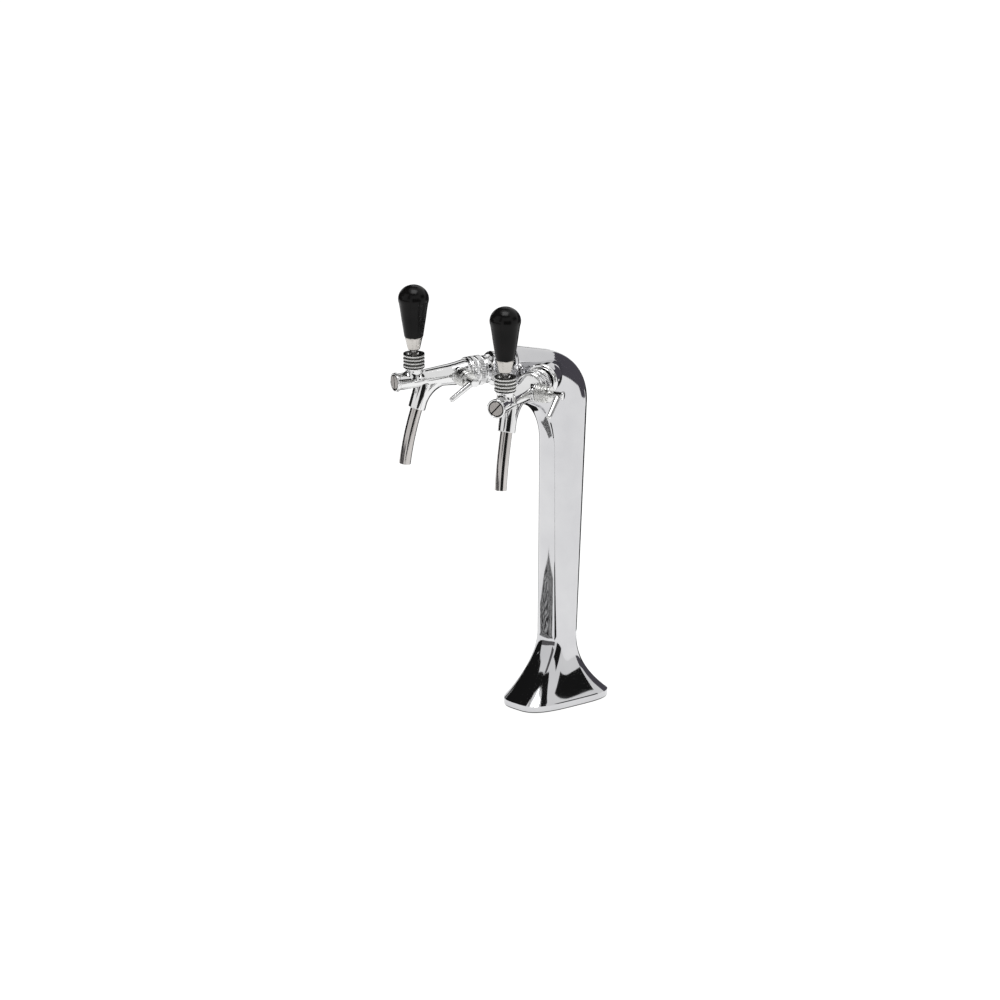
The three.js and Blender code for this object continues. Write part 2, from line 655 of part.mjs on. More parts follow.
function addTap(name, side) {
  const group = new THREE.Group();
  group.position.set(side * TAP_SIDE, -TAP_FRONT, TAP_HEIGHT);
  group.rotation.z = side * THREE.MathUtils.degToRad(TAP_SPLAY);
  const pieces = {
    tap_body: [tapBody(), chrome()],
    front_cap: [frontCap(CAP_SLOT_TURN[name]), steel()],
    cap_seal: [ring(4.6, 6.7, -15.2, -13.8), rubber()],
    piston: [piston(), steel()],
    piston_seal: [turned([[0, 32.6], [6.9, 32.6], [7.4, 33.4], [6, 36.4], [0, 36.4]]), rubber()],
    collar_nut: [collarNut(), chrome()],
    lever_seal: [ring(5.4, 6.8, 14.4, 17.6, 'z', 20), rubber()],
    lever_stem: [leverStem(), steel()],
    handle_ferrule: [handleFerrule(), chrome()],
    handle_knob: [handleKnob(), blackPlastic()],
    spout_tube: [spoutTube(), chrome()],
    spout_seal: [onSpoutAxis(ring(5.2, 6.5, -25, -24.3, 'z', 16)), rubber()],
    flow_cone: [flowCone(), whitePlastic()],
    flow_stem: [toGeometry(flowStem()), chrome()],
    flow_nut: [flowNut(), chrome()],
    flow_lever: [flowLever(LEVER_DROP[name]), chrome()],
    coupling_nut: [couplingNut(), chrome()],
    flange_ring: [flangeRing(), chrome()],
    shank_seal: [ring(7.5, 14, 69.8, 71.2), rubber()],
    shank: [shank(), steel()],
    shank_locknut: [shankLocknut(), brass()],
  };
  for (const [piece, [geometry, material]] of Object.entries(pieces)) {
    add(group, `${name}_${piece}`, geometry, material);
  }
  tower.add(group);
}

addTower();
addTap('right', 1);
addTap('left', -1);

export default tower;
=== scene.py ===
"""Looks of the two-tap beer tower: chromed column and taps, black handles, studio and camera."""

import json
import math

import bmesh
import bpy
import numpy as np
from mathutils import Matrix, Vector


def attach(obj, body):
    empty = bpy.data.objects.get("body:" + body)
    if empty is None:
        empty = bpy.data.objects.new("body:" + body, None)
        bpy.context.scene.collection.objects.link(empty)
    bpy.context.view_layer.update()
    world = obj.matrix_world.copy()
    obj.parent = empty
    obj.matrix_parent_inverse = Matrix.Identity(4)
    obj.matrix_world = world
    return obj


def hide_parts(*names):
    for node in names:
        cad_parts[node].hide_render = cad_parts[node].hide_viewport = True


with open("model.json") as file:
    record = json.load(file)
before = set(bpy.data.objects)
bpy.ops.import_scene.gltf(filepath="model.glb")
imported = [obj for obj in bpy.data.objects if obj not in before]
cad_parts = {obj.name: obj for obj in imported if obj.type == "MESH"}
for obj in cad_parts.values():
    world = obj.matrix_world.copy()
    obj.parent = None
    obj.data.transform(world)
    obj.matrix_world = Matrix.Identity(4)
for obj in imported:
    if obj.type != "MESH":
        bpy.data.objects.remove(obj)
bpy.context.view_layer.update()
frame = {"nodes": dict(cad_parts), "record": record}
MM = 0.001

# ---------------------------------------------------------------- camera

CAMERA_AZIMUTH = 42.9
CAMERA_ELEVATION = 17.7
CAMERA_DISTANCE = 4.590
LOOK_AT = Vector((-0.0482, -0.0448, 0.2376))


def look_direction(azimuth, elevation):
    """Unit vector from the object to a camera at that azimuth and elevation, in degrees."""
    a, e = math.radians(azimuth), math.radians(elevation)
    return Vector((math.sin(a) * math.cos(e), -math.cos(a) * math.cos(e), math.sin(e)))


camera_data = bpy.data.cameras.new("camera")
camera_data.lens = 144
camera_data.sensor_width = 36
camera_data.clip_end = 50
camera = bpy.data.objects.new("camera", camera_data)
to_camera = look_direction(CAMERA_AZIMUTH, CAMERA_ELEVATION)
camera.location = LOOK_AT + to_camera * CAMERA_DISTANCE
camera.rotation_euler = (-to_camera).to_track_quat("-Z", "Y").to_euler()
bpy.context.scene.collection.objects.link(camera)
bpy.context.scene.camera = camera
bpy.context.scene.view_settings.view_transform = "Standard"

# ---------------------------------------------------------------- materials

NOISE_LOW, NOISE_HIGH = 0.3, 0.7        # most of a noise texture's grey lies between these
CLOUD_SCALE, HAZE_SCALE = 22, 140       # metal: clouds in its tint, smaller ones in its polish
MOTTLE_SCALE, SHEEN_SCALE = 60, 220     # plastic: the same two
METAL_GRAIN_DEPTH = 0.00002

def new_material(name):
    material = bpy.data.materials.new(name)
    material.use_nodes = True
    tree = material.node_tree
    return material, tree, tree.nodes["Principled BSDF"]


def add_noise(tree, scale, detail=4.0, stretch=(1, 1, 1)):
    """A noise texture in the object's own space, stretched along the axes."""
    place = tree.nodes.new("ShaderNodeTexCoord")
    mapping = tree.nodes.new("ShaderNodeMapping")
    mapping.inputs["Scale"].default_value = stretch
    noise = tree.nodes.new("ShaderNodeTexNoise")
    noise.inputs["Scale"].default_value = scale
    noise.inputs["Detail"].default_value = detail
    tree.links.new(place.outputs["Object"], mapping.inputs["Vector"])
    tree.links.new(mapping.outputs["Vector"], noise.inputs["Vector"])
    return noise


def vary(tree, source, socket, low, high):
    """Drives a number socket between low and high with a texture's grey value."""
    remap = tree.nodes.new("ShaderNodeMapRange")
    remap.inputs["From Min"].default_value = NOISE_LOW
    remap.inputs["From Max"].default_value = NOISE_HIGH
    remap.inputs["To Min"].default_value = low
    remap.inputs["To Max"].default_value = high
    tree.links.new(source.outputs["Fac"], remap.inputs["Value"])
    tree.links.new(remap.outputs["Result"], socket)


def tint(tree, source, socket, first, second):
    """Drives a colour socket between two colours with a texture's grey value."""
    ramp = tree.nodes.new("ShaderNodeValToRGB")
    ramp.color_ramp.elements[0].position = NOISE_LOW
    ramp.color_ramp.elements[1].position = NOISE_HIGH
    ramp.color_ramp.elements[0].color = (*first, 1)
    ramp.color_ramp.elements[1].color = (*second, 1)
    tree.links.new(source.outputs["Fac"], ramp.inputs["Fac"])
    tree.links.new(ramp.outputs["Color"], socket)


def dent(tree, shader, source, strength, distance):
    """Dents the surface with a texture, as deep as distance in metres."""
    bump = tree.nodes.new("ShaderNodeBump")
    bump.inputs["Strength"].default_value = strength
    bump.inputs["Distance"].default_value = distance
    tree.links.new(source.outputs["Fac"], bump.inputs["Height"])
    tree.links.new(bump.outputs["Normal"], shader.inputs["Normal"])


def metal(name, dark, light, rough, grain, grain_scale=900, stretch=(1, 1, 1)):
    """Metal with a slightly uneven polish: clouds in its tint, haze and fine grain."""
    material, tree, shader = new_material(name)
    shader.inputs["Metallic"].default_value = 1
    tint(tree, add_noise(tree, CLOUD_SCALE, 3), shader.inputs["Base Color"], dark, light)
    vary(tree, add_noise(tree, HAZE_SCALE, 6, stretch), shader.inputs["Roughness"], *rough)
    dent(tree, shader, add_noise(tree, grain_scale, 2, stretch), grain, METAL_GRAIN_DEPTH)
    return material


def plastic(name, dark, light, rough, grain, grain_scale=1500, depth=0.00004, specular=0.5):
    """Moulded plastic, rubber, foam or paint: a faint mottle, uneven sheen and fine grain."""
    material, tree, shader = new_material(name)
    tint(tree, add_noise(tree, MOTTLE_SCALE, 4), shader.inputs["Base Color"], dark, light)
    vary(tree, add_noise(tree, SHEEN_SCALE, 5), shader.inputs["Roughness"], *rough)
    dent(tree, shader, add_noise(tree, grain_scale, 2), grain, depth)
    shader.inputs["Specular IOR Level"].default_value = specular
    return material


MATERIALS = {
    "column": metal("column_chrome", (0.555, 0.555, 0.57), (0.62, 0.62, 0.63), (0.045, 0.075),
                    0.03),
    "chrome": metal("tap_chrome", (0.70, 0.70, 0.70), (0.80, 0.80, 0.80), (0.05, 0.10), 0.05),
    "brushed": metal("brushed_chrome", (0.42, 0.40, 0.38), (0.58, 0.56, 0.53), (0.18, 0.28), 0.25,
                     grain_scale=700, stretch=(1, 1, 12)),
    "knurled": metal("knurled_chrome", (0.60, 0.60, 0.585), (0.80, 0.80, 0.785), (0.05, 0.10),
                     0.15),
    # Dark chrome for painted shade in the valleys between the collar nut's rows.
    "shade_paint": metal("chrome_with_painted_shade", (0.03, 0.03, 0.028), (0.14, 0.14, 0.13), (0.12, 0.22), 0.2),
    "cap": metal("cap_steel", (0.26, 0.24, 0.23), (0.42, 0.40, 0.385), (0.24, 0.38), 0.4,
                 grain_scale=500, stretch=(1, 1, 9)),
    # Near-black, for painted shade at the bottom of the cap's slot.
    "slot_shade_paint": plastic("painted_slot_shade", (0.006, 0.006, 0.006), (0.012, 0.012, 0.012), (0.6, 0.8), 0.2,
                    specular=0.1),
    "spout": metal("spout_steel", (0.47, 0.45, 0.435), (0.58, 0.555, 0.54), (0.09, 0.15), 0.15),
    "steel": metal("turned_steel", (0.50, 0.49, 0.48), (0.62, 0.61, 0.60), (0.22, 0.34), 0.2),
    "brass": metal("bare_brass", (0.56, 0.43, 0.20), (0.70, 0.56, 0.30), (0.22, 0.36), 0.2),
    "handle": plastic("gloss_black", (0.002, 0.002, 0.002), (0.005, 0.0045, 0.0045), (0.16, 0.24),
                      0.03, specular=0.13),
    "rubber": plastic("black_rubber", (0.018, 0.018, 0.018), (0.035, 0.034, 0.033), (0.6, 0.8),
                      0.4),
    "white_plastic": plastic("tube_plastic", (0.70, 0.70, 0.68), (0.80, 0.80, 0.78), (0.35, 0.5),
                             0.1),
    "foam": plastic("rigid_foam", (0.62, 0.52, 0.30), (0.74, 0.66, 0.42), (0.8, 0.95), 0.8,
                    grain_scale=400, depth=0.0004),
}

# ---------------------------------------------------------------- mesh helpers

BLEND = 30              # degrees: a sharper edge than this is drawn sharp
MERGE_DISTANCE = 2e-7   # metres: points closer than this are one point
CORNER_SHARE = 0.45     # how much of a stretch the rounding of one corner may take
ON_AXIS = 1e-6          # a smaller radius than this is a point on the axis
THINNEST = 0.05         # the least radius that relief leaves


def finish_piece(name, vertices, faces, material, body, nodes, smooth=BLEND):
    """Makes the mesh, its soft shading and its link to the CAD body and nodes."""
    mesh = bpy.data.meshes.new(name)
    mesh.from_pydata(vertices, [], faces)
    edit = bmesh.new()
    edit.from_mesh(mesh)
    bmesh.ops.remove_doubles(edit, verts=edit.verts, dist=MERGE_DISTANCE)
    bmesh.ops.recalc_face_normals(edit, faces=edit.faces)
    for edge in edit.edges:
        if edge.is_manifold and edge.calc_face_angle(0) > math.radians(smooth):
            edge.smooth = False
    for face in edit.faces:
        face.smooth = True
    edit.to_mesh(mesh)
    edit.free()
    piece = bpy.data.objects.new(name, mesh)
    bpy.context.scene.collection.objects.link(piece)
    mesh.materials.append(MATERIALS[material])
    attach(piece, body)
    if nodes:
        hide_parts(*nodes)
    return piece


class Skin:
    """Collects vertices and faces of one piece, in millimetres, before it is made."""

    def __init__(self, matrix=Matrix.Identity(4)):
        self.matrix = matrix
        self.vertices = []
        self.faces = []

    def rings(self, rings, caps=True):
        """Joins rings of points into a tube. A ring of one point closes the tube."""
        first = []
        for ring in rings:
            first.append(len(self.vertices))
            for point in ring:
                self.vertices.append(self.matrix @ Vector(point))
        for k in range(len(rings) - 1):
            a, b = first[k], first[k + 1]
            count_a, count_b = len(rings[k]), len(rings[k + 1])
            count = max(count_a, count_b)
            for i in range(count):
                j = (i + 1) % count
                if count_a == 1:
                    self.faces.append((a, b + j, b + i))
                elif count_b == 1:
                    self.faces.append((a + i, a + j, b))
                else:
                    self.faces.append((a + i, a + j, b + j, b + i))
        if caps:
            for k in (0, len(rings) - 1):
                if len(rings[k]) > 1:
                    self.faces.append(tuple(first[k] + i for i in range(len(rings[k]))))

    def make(self, name, material, body, nodes, smooth=BLEND):
        points = [tuple(v * MM) for v in self.vertices]
        return finish_piece(name, points, self.faces, material, body, nodes, smooth)


def soften(profile, size=0.35, steps=3):
    """Rounds the corners of an open profile of (radius, place) pairs."""
    out = [profile[0]]
    for before, here, after in zip(profile, profile[1:], profile[2:]):
        here_v = Vector(here)
        to_before = Vector(before) - here_v
        to_after = Vector(after) - here_v
        reach = min(size, to_before.length * CORNER_SHARE, to_after.length * CORNER_SHARE)
        start = here_v + to_before.normalized() * reach
        end = here_v + to_after.normalized() * reach
        for i in range(steps + 1):
            t = i / steps
            point = start.lerp(here_v, t).lerp(here_v.lerp(end, t), t)
            out.append((point.x, point.y))
    out.append(profile[-1])
    return out


def dense(profile, step):
    """Adds points to a profile so that none of its stretches is longer than step."""
    out = [profile[0]]
    for (r0, t0), (r1, t1) in zip(profile, profile[1:]):
        count = max(1, math.ceil(math.hypot(r1 - r0, t1 - t0) / step))
        out += [(r0 + (r1 - r0) * i / count, t0 + (t1 - t0) * i / count)
                for i in range(1, count + 1)]
    return out


def outline_angles(count):
    """Evenly spaced angles, once round."""
    return [2 * math.pi * i / count for i in range(count)]


def arc(centre, radius, stretch, start, end, steps):
    """(radius, place) points of an arc about a place on the axis, from start to end degrees."""
    angles = [math.radians(start + (end - start) * i / steps) for i in range(steps + 1)]
    return [(radius * math.cos(a), centre + stretch * math.sin(a)) for a in angles]


def axis_frame(axis):
    """Matrix that turns the z axis of a turned piece onto a tap's x or y axis."""
    if axis == "x":
        return Matrix.Rotation(math.radians(90), 4, "Y")
    if axis == "y":
        return Matrix.Rotation(math.radians(-90), 4, "X")
    return Matrix.Identity(4)


def add_turned(skin, profile, axis="z", sides=72, place=Matrix.Identity(4), relief=None,
               relief_from=0):
    """A turned form. relief(angle, place) gives how deep it is cut, beyond some radius."""
    turn = place @ axis_frame(axis)
    rings = []
    for radius, height in profile:
        if radius < ON_AXIS:
            rings.append([turn @ Vector((0, 0, height))])
            continue
        ring = []
        for angle in outline_angles(sides):
            depth = relief(angle, height) if relief and radius > relief_from else 0
            here = max(radius - depth, THINNEST)
            ring.append(turn @ Vector((here * math.cos(angle), here * math.sin(angle), height)))
        rings.append(ring)
    skin.rings(rings)


def knurl(count, pitch, depth, start, end):
    """Diamond knurling between two places along a turned piece."""
    fullness = 0.6

    def relief(angle, place):
        if place < start or place > end:
            return 0
        along = math.pi * (place - start) / pitch
        turn = angle * count / 2
        return depth * (1 - abs(math.sin(turn + along) * math.sin(turn - along)) ** fullness)
    return relief


def ribs(count, depth, *bands):
    """Straight ribs round a turned piece, in bands of (start, end)."""
    def relief(angle, place):
        if not any(start <= place <= end for start, end in bands):
            return 0
        return depth * abs(math.sin(angle * count / 2))
    return relief


# ---------------------------------------------------------------- column

COLUMN_HALF_WIDTH = 21.2
COLUMN_ROUNDNESS = 2.8
FRONT_FACE = -19
BACK_LOW, BACK_HIGH = 20.3, 37.5
BEND_TURN = 68.2
BACK_ARC = {"z": 359.4, "reach": 97.5, "rise": 68.4, "run": 62}
FRONT_ARC = {"z": 304.5, "reach": 45.1, "rise": 59.5, "run": 43}
NOSE_HALF_WIDTH = 17.8
NOSE_BULGE = 11.5
RIM_TOP, FLARE_TOP = 7.9, 79.3
RIM_CREASE = 0.6                        # a section this far below the rim's top keeps it crisp
SHELL_BOTTOM = 1.5
GASKET_TOP = 1.2

# The foot's wedge outline, wider at the back, and how fast each side flares out to it.
FOOT_ROUNDNESS = 3.5
FOOT_HALF_WIDTH, FOOT_WIDENING = 43.9, 12.3
FOOT_MIDDLE, FOOT_HALF_DEPTH = -10.2, 60.2
FLARE_SIDE, FLARE_FRONT, FLARE_BACK = 2.3, 1.82, 2.25

COLUMN_SIDES = 160
FLARE_STEPS, RISER_STEPS, BEND_STEPS, RUN_STEPS = 60, 16, 64, 10


def mix(a, b, share):
    return a + (b - a) * share


def straight_station(z, foot=0.0):
    """A level section of the column: its back and front edges, and how far it is foot or nose."""
    share = (z - FLARE_TOP) / (BACK_ARC["z"] - FLARE_TOP)
    return {"back": (mix(BACK_LOW, BACK_HIGH, share), z), "front": (FRONT_FACE, z),
            "foot": foot, "nose": 0.0}


def arc_point(start, shape, degrees):
    """(y, z) on an elliptic bend that starts upright at start and turns over to the front."""
    a = math.radians(degrees)
    return (start - shape["reach"] * (1 - math.cos(a)), shape["z"] + shape["rise"] * math.sin(a))


def run_point(start, shape, share):
    """(y, z) on the straight run after a bend."""
    a = math.radians(BEND_TURN)
    y, z = arc_point(start, shape, BEND_TURN)
    way = Vector((-shape["reach"] * math.sin(a), shape["rise"] * math.cos(a))).normalized()
    return (y + way.x * shape["run"] * share, z + way.y * shape["run"] * share)


def run_station(share):
    """A section of the straight head, some share of the way to its nose."""
    return {"back": run_point(BACK_HIGH, BACK_ARC, share),
            "front": run_point(FRONT_FACE, FRONT_ARC, share), "foot": 0.0, "nose": share}


def column_stations():
    """The column's sections from the foot's lower edge, up and round the bend, to the nose."""
    stations = [straight_station(SHELL_BOTTOM, 1.0), straight_station(RIM_TOP - RIM_CREASE, 1.0)]
    for i in range(FLARE_STEPS + 1):
        z = mix(RIM_TOP, FLARE_TOP, i / FLARE_STEPS)
        stations.append(straight_station(z, (FLARE_TOP - z) / (FLARE_TOP - RIM_TOP)))
    low, high = stations[-1], {"back": (BACK_HIGH, BACK_ARC["z"]),
                               "front": (FRONT_FACE, FRONT_ARC["z"])}
    for i in range(1, RISER_STEPS):
        share = i / RISER_STEPS
        stations.append({side: tuple(mix(a, b, share) for a, b in zip(low[side], high[side]))
                         for side in ("back", "front")} | {"foot": 0.0, "nose": 0.0})
    for i in range(BEND_STEPS + 1):
        turn = BEND_TURN * i / BEND_STEPS
        stations.append({"back": arc_point(BACK_HIGH, BACK_ARC, turn),
                         "front": arc_point(FRONT_FACE, FRONT_ARC, turn),
                         "foot": 0.0, "nose": 0.0})
    stations += [run_station(i / RUN_STEPS) for i in range(1, RUN_STEPS + 1)]
    return stations


def signed_power(value, exponent):
    return math.copysign(abs(value) ** exponent, value)


def section_point(station, angle, inset=0.0):
    """A point of a station's superellipse, blended towards the foot's outline."""
    back, front, foot = station["back"], station["front"], station["foot"]
    across, deep = math.cos(angle), math.sin(angle)
    u = signed_power(across, 2 / COLUMN_ROUNDNESS)
    v = signed_power(deep, 2 / COLUMN_ROUNDNESS)
    middle = [(b + f) / 2 for b, f in zip(back, front)]
    half = [(b - f) / 2 for b, f in zip(back, front)]
    thin = 1 - inset / math.hypot(*half)
    x = (mix(COLUMN_HALF_WIDTH, NOSE_HALF_WIDTH, station["nose"]) - inset) * u
    y = middle[0] + half[0] * v * thin
    z = middle[1] + half[1] * v * thin
    if foot > 0:
        foot_u = signed_power(across, 2 / FOOT_ROUNDNESS)
        foot_v = signed_power(deep, 2 / FOOT_ROUNDNESS)
        foot_x = (FOOT_HALF_WIDTH + FOOT_WIDENING * foot_v - inset) * foot_u
        foot_y = FOOT_MIDDLE + (FOOT_HALF_DEPTH - inset) * foot_v
        x = mix(x, foot_x, foot ** FLARE_SIDE)
        y = mix(y, foot_y, foot ** mix(FLARE_FRONT, FLARE_BACK, (v + 1) / 2))
    return Vector((x, y, z))


def station_ring(station, count, inset=0.0, scale=1.0):
    """A station's outline, set in by inset and scaled about its middle."""
    centre = Vector((0, (station["back"][0] + station["front"][0]) / 2,
                     (station["back"][1] + station["front"][1]) / 2))
    ring = [section_point(station, a, inset) for a in outline_angles(count)]
    return [centre + (p - centre) * scale for p in ring]


def advanced(station, distance):
    """The station moved out of its own plane, onwards along the column."""
    back, front = station["back"], station["front"]
    normal = Vector((back[1] - front[1], front[0] - back[0])).normalized() * -distance
    return station | {"back": (back[0] + normal.x, back[1] + normal.y),
                      "front": (front[0] + normal.x, front[1] + normal.y)}


# ---------------------------------------------------------------- taps' own frame

TAP_SPLAY, TAP_SIDE, TAP_FRONT, TAP_HEIGHT = 18.5, 69.5, 163, 402
SEAT_FACE = 102.3
BRANCH_ELBOW = 112
BRANCH_RADIUS = 17.5
BRANCH_BEVEL = 0.4
BRANCH_BEND = 4                         # how far before and after its elbow a branch bends
BRANCH_BEND_STEPS = 8
BRANCH_ROOT, BRANCH_ROOT_RADIUS = (8, -20, 398), 13.5
BRANCH_SIDES = 64


def tap_matrix(side):
    """From a tap's own frame to the tower's: the tap points along its -y, its handle along z."""
    place = Matrix.Translation((side * TAP_SIDE, -TAP_FRONT, TAP_HEIGHT))
    return place @ Matrix.Rotation(side * math.radians(TAP_SPLAY), 4, "Z")


def branch_stops(side):
    """(centre, direction, radius) along a branch, from its seat round its elbow to the column."""
    tap = tap_matrix(side)
    seat = tap @ Vector((0, SEAT_FACE, 0))
    elbow = tap @ Vector((0, BRANCH_ELBOW, 0))
    root = Vector((side * BRANCH_ROOT[0], *BRANCH_ROOT[1:]))
    first = (elbow - seat).normalized()
    second = (root - elbow).normalized()
    start, end = elbow - first * BRANCH_BEND, elbow + second * BRANCH_BEND
    bend_taper, end_taper = 0.2, 0.3
    stops = [(seat, first, BRANCH_RADIUS - BRANCH_BEVEL),
             (seat + first * BRANCH_BEVEL, first, BRANCH_RADIUS), (start, first, BRANCH_RADIUS)]
    for i in range(1, BRANCH_BEND_STEPS):
        t = i / BRANCH_BEND_STEPS
        centre, _ = quadratic(start, elbow, end, t)
        stops.append((centre, first.lerp(second, t).normalized(), BRANCH_RADIUS - bend_taper * t))
    return stops + [(end, second, BRANCH_RADIUS - end_taper), (root, second, BRANCH_ROOT_RADIUS)]


def make_column():
    """The bent casting and its two branches."""
    skin = Skin()
    skin.rings([station_ring(s, COLUMN_SIDES) for s in column_stations()])
    for side in (-1, 1):
        rings = []
        for centre, way, radius in branch_stops(side):
            turn = way.to_track_quat("Z", "Y").to_matrix()
            rings.append([centre + turn @ Vector((radius * math.cos(a), radius * math.sin(a), 0))
                          for a in outline_angles(BRANCH_SIDES)])
        skin.rings(rings)
    skin.make("column", "column", "tower", ["column_shell"], 40)


def make_nose():
    """A domed cap whose skirt reaches into the head, with a fine groove where they meet."""
    nose = run_station(1)
    sides, steps, dome_turn = 120, 24, 88
    skirt = ((-4, 0.9), (0.2, 0.9), (0.4, 0.2))
    rings = [station_ring(advanced(nose, reach), sides, inset) for reach, inset in skirt]
    for i in range(steps + 1):
        a = math.radians(dome_turn * i / steps)
        rings.append(station_ring(advanced(nose, 1 + NOSE_BULGE * math.sin(a)), sides, 0,
                                  math.cos(a)))
    skin = Skin()
    skin.rings(rings)
    skin.make("nose_dome", "column", "tower", ["nose_cap"])


def make_gasket():
    """A sheet of the foot's outline, a little smaller, with softened edges."""
    edges = ((0, 1.0), (0.15, 0.8), (GASKET_TOP - 0.1, 0.8), (GASKET_TOP, 0.9))
    skin = Skin()
    skin.rings([station_ring(straight_station(z, 1.0), COLUMN_SIDES, inset) for z, inset in edges])
    skin.make("gasket", "rubber", "tower", ["base_gasket"])


# ---------------------------------------------------------------- tap pieces

SPOUT_ROOT = Vector((0, 12.5, -4))
SPOUT_LEAN = math.radians(17.6)
SPOUT_RADIUS, SPOUT_BORE = 6.6, 5.1
SPOUT_LIP, BORE_LIP = 0.25, 0.2         # how far the spout's open end is rounded in and out
SPOUT_BORE_STOPS = 11                   # how many of its stops the open bore goes back
FLOW_STATION = 53
LEVER_STATION = 40.4
NECK_RADIUS, NECK_FILLET = 9.0, 4.2
SINK = 0.05                             # how far a fillet's edge sinks into the barrel

# The body's swept elbow, from the spout socket back along the barrel.
ELBOW_DEPTH, ELBOW_CORNER, ELBOW_END = 28, 13.8, 52
ELBOW_RADIUS = 9.45

SPOUT_FRAME = Matrix.Translation(SPOUT_ROOT) @ Matrix.Rotation(-SPOUT_LEAN, 4, "X")
FLOW_FRAME = Matrix.Translation((0, FLOW_STATION, 0))

BARREL = [(9.5, -20.8), (9.5, 4), (10.0, 14), (10.7, 24), (11.5, 34), (12.2, 44), (13.1, 52),
          (14.2, 59), (14.9, 63)]


def barrel_height(x, y):
    """How high the barrel's surface is above its axis there, or 0 beside the barrel."""
    radius = float(np.interp(y, [place for _, place in BARREL], [r for r, _ in BARREL]))
    return math.sqrt(max(0, radius ** 2 - x ** 2))


def add_neck_fillet(skin, sides=72, steps=8):
    """A hollow fillet where the round neck meets the barrel."""
    rings = []
    for k in range(steps + 1):
        share = k / steps
        lift = NECK_FILLET * (1 - math.sqrt(1 - (1 - share) ** 2)) - SINK
        spread = NECK_RADIUS + NECK_FILLET * share
        places = [(spread * math.cos(a), spread * math.sin(a)) for a in outline_angles(sides)]
        rings.append([Vector((x, y, barrel_height(x, y) + lift)) for x, y in places])
    skin.rings(rings, caps=False)


def cross_ring(centre, way, radius, sides):
    """A ring square to a direction that lies in the tap's y-z plane."""
    side = Vector((1, 0, 0))
    up = way.cross(side).normalized()
    return [centre + side * radius * math.cos(a) + up * radius * math.sin(a)
            for a in outline_angles(sides)]


def add_bar(skin, stops, radius, sides=64):
    """A solid bar through (centre, direction) stops in the tap's y-z plane."""
    skin.rings([cross_ring(centre, way, radius, sides) for centre, way in stops])


def add_spout_tube(skin, stops, outer, inner, sides=48):
    """A bar through the stops with a rounded, open end and a bore that goes some way in."""
    tip, way = stops[-1]
    edge = tip + way * SPOUT_LIP
    rings = [cross_ring(centre, tangent, outer, sides) for centre, tangent in stops]
    rings += [cross_ring(edge, way, radius, sides)
              for radius in (outer - SPOUT_LIP, inner + BORE_LIP)]
    rings += [cross_ring(centre, way, inner, sides)
              for centre, _ in reversed(stops[-SPOUT_BORE_STOPS:])]
    skin.rings(rings)


def quadratic(start, bend, end, t):
    """Point and direction on the curve from start to end that bend pulls towards itself."""
    point = start.lerp(bend, t).lerp(bend.lerp(end, t), t)
    tangent = (bend.lerp(end, t) - start.lerp(bend, t)).normalized()
    return point, tangent


def make_body(name, tap):
    """Barrel, neck, spout socket, side boss and the elbow that joins socket and barrel."""
    skin = Skin(tap)
    front = [(8.2, -20.9), (9.1, -20.8), (9.5, -20.4)]
    back = [(14.9, 64.6), (14.6, 64.9), (14.2, 65), (14.2, 69.4), (10, 69.5), (0, 69.5)]
    body = [(0, -20.9)] + front + dense(BARREL[1:], 1.5) + back
    add_turned(skin, body, "y", 96)
    neck = [(0, 2), (NECK_RADIUS, 2), (NECK_RADIUS, 8.5), (9.6, 10.6), (10.4, 12.4),
            (10.5, 14.2), (9.2, 14.4), (9.2, 24)]
    add_turned(skin, soften(neck, 0.5), "z", 72)
    socket = [(0, -1), (9.9, -1), (9.8, -20), (9.75, -30.7), (9.3, -31.4), (6.9, -31.5),
              (6.9, -25), (0, -25)]
    add_turned(skin, soften(socket, 0.4), "z", 72, SPOUT_FRAME)
    boss = [(0, 7.6), (10.4, 7.6), (10.3, 12.6), (11.0, 13.2), (11.0, 14.4), (10.6, 14.8),
            (0, 14.8)]
    add_turned(skin, soften(boss, 0.3), "x", 72, FLOW_FRAME)
    add_neck_fillet(skin)
    elbow = [SPOUT_FRAME @ Vector((0, 0, -ELBOW_DEPTH)), Vector((0, ELBOW_CORNER, 0)),
             Vector((0, ELBOW_END, 0))]
    steps = 32
    add_bar(skin, [quadratic(*elbow, i / steps) for i in range(steps + 1)], ELBOW_RADIUS)
    skin.make(f"{name}_body", "chrome", "tower", [f"{name}_tap_body"], 35)


def add_half_disc(skin, way):
    """Half of the cap's disc, above (way 1) or below (way -1) its driver slot."""
    radius, face, depth, half_slot = 7.7, -24.8, 3.1, 0.75
    bevel, bevel_depth = 0.975, 0.2
    steps = 40
    start = math.asin(half_slot / radius)
    angles = [mix(start, math.pi - start, i / steps) for i in range(steps + 1)]
    rim = [Vector((radius * math.cos(a), face + bevel_depth, way * radius * math.sin(a)))
           for a in angles]
    top = [Vector((p.x * bevel, face, max(abs(p.z) * bevel, half_slot) * way)) for p in rim]
    low = [Vector((p.x, face + depth, p.z)) for p in rim]
    skin.rings([low, rim, top])


